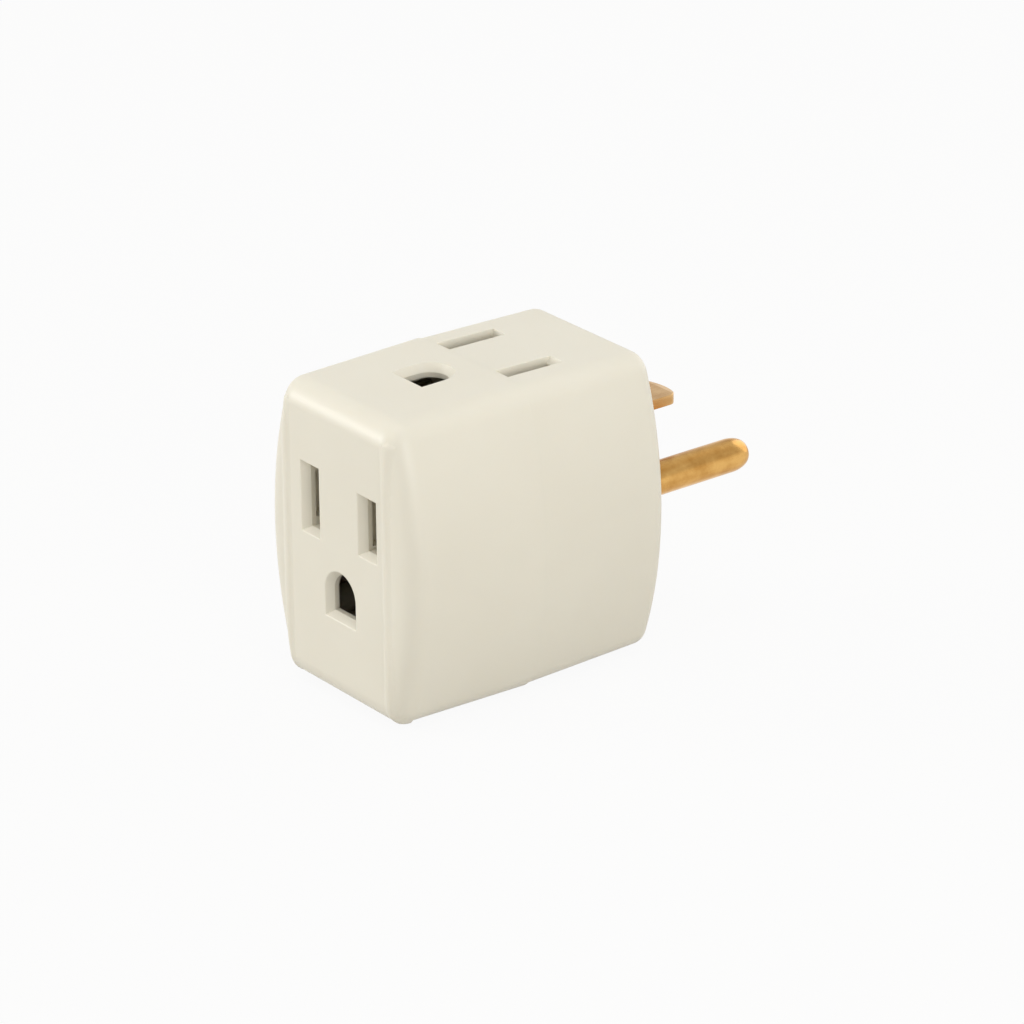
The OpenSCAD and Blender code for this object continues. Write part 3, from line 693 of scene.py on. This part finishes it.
def makeBlade(name, node, z):
    # Blanked from strip with a domed end, a wide arc between two small corners
    bm = bmesh.new()
    halfWidth, halfThick = plug["bladeWidth"] / 2, plug["bladeThickness"] / 2
    arc, corner, steps = plug["tipArc"], plug["tipRadius"], plug["tipSteps"]
    arcY = plug["bladeLength"] - arc
    tipX = halfWidth - corner
    tipY = arcY + math.sqrt((arc - corner) ** 2 - tipX ** 2)
    lean = math.atan2(tipY - arcY, tipX)
    outline = [(halfWidth, -plug["bladeInner"])]
    for i in range(steps + 1):
        angle = lean * i / steps
        outline.append((tipX + corner * math.cos(angle), tipY + corner * math.sin(angle)))
    for i in range(1, steps + 1):
        angle = lean + (math.pi / 2 - lean) * i / steps
        outline.append((arc * math.cos(angle), arcY + arc * math.sin(angle)))
    outline += [(-x, y) for x, y in reversed(outline[:-1])]
    flat = bm.faces.new([bm.verts.new((x, y, -halfThick)) for x, y in outline])
    raised = bmesh.ops.extrude_face_region(bm, geom=[flat])["geom"]
    bmesh.ops.translate(bm, vec=(0, 0, 2 * halfThick), verts=vertsOf(raised))
    for side in (-1, 1):
        # A shallow slope on both faces of the tip
        start = Vector((0, plug["bladeLength"] - plug["bevelLength"], side * halfThick))
        slope = Vector((0, plug["bevelDepth"], side * plug["bevelLength"])).normalized()
        cut = bmesh.ops.bisect_plane(bm, geom=bm.verts[:] + bm.edges[:] + bm.faces[:],
                                     plane_co=start, plane_no=slope, clear_outer=True)
        bmesh.ops.edgeloop_fill(bm, edges=edgesOf(cut["geom_cut"]))
    bmesh.ops.translate(bm, vec=(bladeX, 0, z), verts=bm.verts)
    blade = makeObject(name, bm)
    holes = bmesh.new()
    for y, radius in ((plug["holeY"], plug["holeRadius"]), (plug["rivetY"], plug["rivetRadius"])):
        bmesh.ops.create_cone(holes, cap_ends=True, segments=plug["holeSteps"], radius1=radius,
                              radius2=radius, depth=plug["holeCut"],
                              matrix=Matrix.Translation((bladeX, y, z)))
    combine(blade, makeObject("blade holes", holes), "DIFFERENCE")
    soft = blade.modifiers.new("worn edges", "BEVEL")
    soft.width = plug["edgeRound"] * mm
    soft.segments = plug["edgeSteps"]
    soft.limit_method = "ANGLE"
    soft.angle_limit = math.radians(plug["edgeAngle"])
    finishPiece(blade, rolledBrass)
    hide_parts(node)


def makePin():
    # Turned in one piece: riveted tail, collar behind the wall, relief, shank and bullet nose
    collarBack = plug["collarFace"] - plug["collarThickness"]
    tailShoulder = plug["tailFace"] + plug["stripThickness"]
    tailEnd = plug["tailFace"] - plug["tailHead"]
    neck = plug["pinRadius"] - plug["pinRelief"]
    noseStart = plug["pinLength"] - plug["noseLength"]
    arcHeight = plug["noseLength"] - plug["noseTop"]
    outline = [
        (0, tailEnd), (plug["tailHeadRadius"], tailEnd), (plug["tailHeadRadius"], plug["tailFace"]),
        (plug["tailRadius"], plug["tailFace"]), (plug["tailRadius"], tailShoulder),
        (neck, tailShoulder), (neck, collarBack),
        (plug["collarRadius"], collarBack), (plug["collarRadius"], plug["collarFace"]),
        (neck, plug["collarFace"]), (neck, plug["pinRoot"]), (plug["pinRadius"], plug["pinRoot"]),
    ]
    for i in range(plug["noseSteps"] + 1):
        angle = math.pi / 2 * i / plug["noseSteps"]
        radius = plug["noseRadius"] + (plug["pinRadius"] - plug["noseRadius"]) * math.cos(angle)
        outline.append((radius, noseStart + arcHeight * math.sin(angle)))
    outline += [(plug["noseFlat"], plug["pinLength"] - plug["noseDrop"]), (0, plug["pinLength"])]
    bm = bmesh.new()
    points = [bm.verts.new((pinX + r, y, 0)) for r, y in outline]
    chain = [bm.edges.new(pair) for pair in zip(points, points[1:])]
    bmesh.ops.spin(bm, geom=points + chain, cent=(pinX, 0, 0), axis=(0, 1, 0), angle=2 * math.pi,
                   steps=plug["turnSteps"], use_merge=True)
    bmesh.ops.remove_doubles(bm, verts=bm.verts, dist=weld)
    pin = makeObject("ground_prong", bm)
    finishPiece(pin, turnedBrass, sharpAngle=35.0)
    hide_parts("ground_pin")


makeBlade("upper_blade", "hot_blade", bladeZ)
makeBlade("lower_blade", "neutral_blade", -bladeZ)
makePin()
print("prongs made")


# inner metal: the solids themselves, with their finishes

innerFinish = {"bus": stripBrass, "contact": springBrass, "rivets": steel}
for name, node in nodes.items():
    for ending, material in innerFinish.items():
        if name.endswith(ending):
            node.data.materials.clear()
            node.data.materials.append(material)
print("inner metal finished")


# floor, light and camera

stage = {
    "floorSize": 6.0,  # m
    "floorColour": "C8C6C2",
    "backgroundShare": 0.93,
    "skyColour": "FFFFFF",
    "skyStrength": 0.62,
    "wallTop": 0.12,
    "ceilingStart": 0.42,
    "ceilingStrength": 0.72,
}


def cameraShare(tree):
    # 1 where the camera sees a surface directly, in a mirror or through glass
    path = addNode(tree, "ShaderNodeLightPath")
    seen = addNode(tree, "ShaderNodeMath", {0: path.outputs["Is Camera Ray"],
                                            1: path.outputs["Is Glossy Ray"]}, operation="MAXIMUM")
    seen = addNode(tree, "ShaderNodeMath", {0: seen.outputs[0],
                                            1: path.outputs["Is Transmission Ray"]}, operation="MAXIMUM")
    return seen.outputs[0]


def makeFloor():
    bm = bmesh.new()
    bmesh.ops.create_circle(bm, cap_ends=True, segments=96, radius=stage["floorSize"] / 2 / mm,
                            matrix=Matrix.Translation((0, middleY, -halfHeight)))
    floor = makeObject("floor", bm)
    material, tree = newMaterial("pale paper sweep")
    paper = addNode(tree, "ShaderNodeBsdfDiffuse", {"Color": toLinear(stage["floorColour"])})
    glow = addNode(tree, "ShaderNodeEmission", {"Color": (1, 1, 1, 1), "Strength": 1.0})
    share = addNode(tree, "ShaderNodeMath", {0: cameraShare(tree), 1: stage["backgroundShare"]},
                    operation="MULTIPLY")
    mixed = addNode(tree, "ShaderNodeMixShader", {
        0: share.outputs[0], 1: paper.outputs["BSDF"], 2: glow.outputs["Emission"]})
    addNode(tree, "ShaderNodeOutputMaterial", {"Surface": mixed.outputs["Shader"]})
    floor.data.materials.append(material)


def makeSky():
    world = bpy.data.worlds.new("soft room")
    bpy.context.scene.world = world
    world.use_nodes = True
    tree = world.node_tree
    tree.nodes.clear()
    room = addNode(tree, "ShaderNodeBackground", {
        "Color": toLinear(stage["skyColour"]), "Strength": stage["skyStrength"]})
    # What the camera and polished metal see: white walls under a darker ceiling
    outward = addNode(tree, "ShaderNodeTexCoord").outputs["Generated"]
    height = addNode(tree, "ShaderNodeSeparateXYZ", {"Vector": outward}).outputs["Z"]
    falling = mapRange(tree, height, (stage["wallTop"], stage["ceilingStart"]),
                       (1.0, stage["ceilingStrength"]))
    seen = addNode(tree, "ShaderNodeBackground", {"Color": (1, 1, 1, 1), "Strength": falling})
    mixed = addNode(tree, "ShaderNodeMixShader", {
        0: cameraShare(tree), 1: room.outputs["Background"], 2: seen.outputs["Background"]})
    addNode(tree, "ShaderNodeOutputWorld", {"Surface": mixed.outputs["Shader"]})


# Place and size in mm, power in W
lamps = {
    "above": {"place": (60, -60, 560), "size": 420, "power": 0.74},
    "behind": {"place": (-60, 580, 200), "size": 700, "power": 0.9},
    "right": {"place": (475, -105, 150), "size": 240, "power": 0.79},
    "left": {"place": (-490, -590, 170), "size": 320, "power": 2.52},
}


def makeLamps():
    target = Vector((0, middleY, 0))
    for name, lamp in lamps.items():
        light = bpy.data.lights.new(name, "AREA")
        light.shape = "DISK"
        light.size = lamp["size"] * mm
        light.energy = lamp["power"]
        lampObject = bpy.data.objects.new(name, light)
        place = Vector(lamp["place"])
        lampObject.location = place * mm
        lampObject.rotation_euler = (target - place).to_track_quat("-Z", "Y").to_euler()
        bpy.context.scene.collection.objects.link(lampObject)


# Fitted to the photograph: the angles, the lens and the point that lies in the middle of the frame
shot = {
    "azimuth": 52.212,
    "elevation": 23.592,
    "roll": -0.439,
    "lens": 175.82,
    "distance": 686.72,
    "aim": (-5.13, -10.045, -4.812),
}


def makeCamera():
    turn = (Matrix.Rotation(math.radians(shot["azimuth"]), 4, "Z")
            @ Matrix.Rotation(math.radians(90 - shot["elevation"]), 4, "X")
            @ Matrix.Rotation(math.radians(shot["roll"]), 4, "Z"))
    camera = bpy.data.objects.new("camera", bpy.data.cameras.new("camera"))
    camera.data.lens = shot["lens"]
    camera.data.clip_start = 0.01
    back = turn.to_3x3() @ Vector((0, 0, shot["distance"]))
    camera.matrix_world = Matrix.Translation((Vector(shot["aim"]) + back) * mm) @ turn
    bpy.context.scene.collection.objects.link(camera)
    bpy.context.scene.camera = camera


makeFloor()
makeSky()
makeLamps()
makeCamera()
bpy.context.scene.view_settings.view_transform = "Standard"
print("floor, light and camera set")
